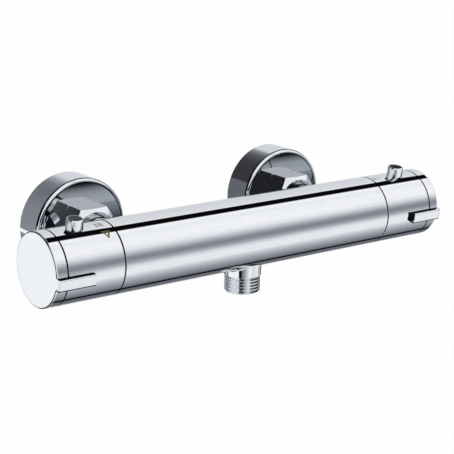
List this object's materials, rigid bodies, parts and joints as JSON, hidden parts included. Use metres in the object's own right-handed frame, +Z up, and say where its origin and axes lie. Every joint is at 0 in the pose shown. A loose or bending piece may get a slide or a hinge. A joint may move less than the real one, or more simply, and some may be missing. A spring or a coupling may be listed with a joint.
{
  "type": "shower mixer",
  "caption": "Wall-mounted thermostatic bar mixer for a shower: round chromed bar with a turning lever handle and stop button at each end, lower hose outlet, offset unions and wall covers.",
  "frame": {"origin": "on the wall plane, midway between the two wall threads of the offset unions", "axes": "+X to the right along the bar as the user faces it, +Y into the wall along the wall threads, +Z up"},
  "size_m": [0.275, 0.1136, 0.0644],
  "materials": {
    "chrome_plate": "mirror polished",
    "brass": "as turned",
    "stainless_steel": "bright",
    "black_rubber": "matte",
    "white_ceramic": "lapped",
    "valve_plastic": "moulded",
    "insert_plastic": "moulded"
  },
  "bodies": {
    "mixer_body": {"body_casting": "chrome_plate", "outlet_nipple": "chrome_plate", "outlet_oring": "black_rubber", "inlet_nipple_hot": "chrome_plate", "inlet_nipple_cold": "chrome_plate", "inlet_orings": "black_rubber", "check_valve_housing_hot": "valve_plastic", "check_valve_housing_cold": "valve_plastic", "check_valve_spring_hot": "stainless_steel", "check_valve_spring_cold": "stainless_steel", "strainer_hot": "stainless_steel", "strainer_cold": "stainless_steel", "union_washer_hot": "black_rubber", "union_washer_cold": "black_rubber", "union_nut_hot": "chrome_plate", "union_nut_cold": "chrome_plate", "offset_union_hot": "brass", "offset_union_cold": "brass", "wall_cover_hot": "chrome_plate", "wall_cover_cold": "chrome_plate", "thermostat_sleeve": "brass", "thermostat_head": "brass", "thermostat_orings": "black_rubber", "return_spring": "stainless_steel", "thermostat_nut": "brass", "temperature_stop_ring": "insert_plastic", "headwork_housing": "brass", "headwork_oring": "black_rubber", "headwork_seal": "black_rubber", "fixed_ceramic_disc": "white_ceramic", "flow_stop_ring": "insert_plastic"},
    "temperature_handle": {"temperature_spindle": "brass", "temperature_spindle_oring": "black_rubber", "temperature_spline_insert": "insert_plastic", "temperature_handle": "chrome_plate", "temperature_end_cap": "chrome_plate", "temperature_handle_screw": "stainless_steel", "temperature_button_spring": "stainless_steel"},
    "temperature_button": {"temperature_button": "chrome_plate"},
    "set_point_screw": {"set_point_screw": "brass", "overtravel_plate": "stainless_steel", "overtravel_spring": "stainless_steel", "wax_pin": "stainless_steel"},
    "regulating_piston": {"regulating_piston": "valve_plastic", "wax_element": "brass"},
    "flow_handle": {"flow_spindle": "brass", "flow_spindle_oring": "black_rubber", "flow_spindle_clip": "stainless_steel", "moving_ceramic_disc": "white_ceramic", "flow_spline_insert": "insert_plastic", "flow_handle": "chrome_plate", "flow_end_cap": "chrome_plate", "flow_handle_screw": "stainless_steel", "flow_button_spring": "stainless_steel"},
    "flow_button": {"flow_button": "chrome_plate"},
    "hot_check_poppet": {"check_valve_poppet_hot": "valve_plastic"},
    "cold_check_poppet": {"check_valve_poppet_cold": "valve_plastic"}
  },
  "joints": [
    {"name": "temperature_turn", "type": "hinge", "parent": "mixer_body", "child": "temperature_handle", "pos_m": [0, -0.074, -0.0075], "axis": [1, 0, 0], "range_deg": [-180, 90]},
    {"name": "temperature_button_press", "type": "slide", "parent": "temperature_handle", "child": "temperature_button", "axis": [0, 0.1305, -0.9914], "range_m": [0, 0.0026], "stiffness_N_per_m": 600, "springref_m": -0.003, "deforming": ["temperature_button_spring"]},
    {"name": "set_point_slide", "type": "slide", "parent": "mixer_body", "child": "set_point_screw", "axis": [1, 0, 0], "range_m": [-0.00052, 0.00102]},
    {"name": "wax_stroke", "type": "slide", "parent": "set_point_screw", "child": "regulating_piston", "axis": [1, 0, 0], "range_m": [-0.0005, 0.0005], "stiffness_N_per_m": 3000, "deforming": ["return_spring"]},
    {"name": "flow_turn", "type": "hinge", "parent": "mixer_body", "child": "flow_handle", "pos_m": [0, -0.074, -0.0075], "axis": [-1, 0, 0], "range_deg": [0, 90]},
    {"name": "flow_button_press", "type": "slide", "parent": "flow_handle", "child": "flow_button", "axis": [0, 0.1305, -0.9914], "range_m": [0, 0.0026], "stiffness_N_per_m": 600, "springref_m": -0.003, "deforming": ["flow_button_spring"]},
    {"name": "hot_check_lift", "type": "slide", "parent": "mixer_body", "child": "hot_check_poppet", "axis": [0, -1, 0], "range_m": [0, 0.003], "stiffness_N_per_m": 80, "springref_m": -0.004, "deforming": ["check_valve_spring_hot"]},
    {"name": "cold_check_lift", "type": "slide", "parent": "mixer_body", "child": "cold_check_poppet", "axis": [0, -1, 0], "range_m": [0, 0.003], "stiffness_N_per_m": 80, "springref_m": -0.004, "deforming": ["check_valve_spring_cold"]}
  ],
  "couplings": [
    {"joint": "set_point_slide", "follows": "temperature_turn", "m_per_rad": -0.00031831}
  ]
}
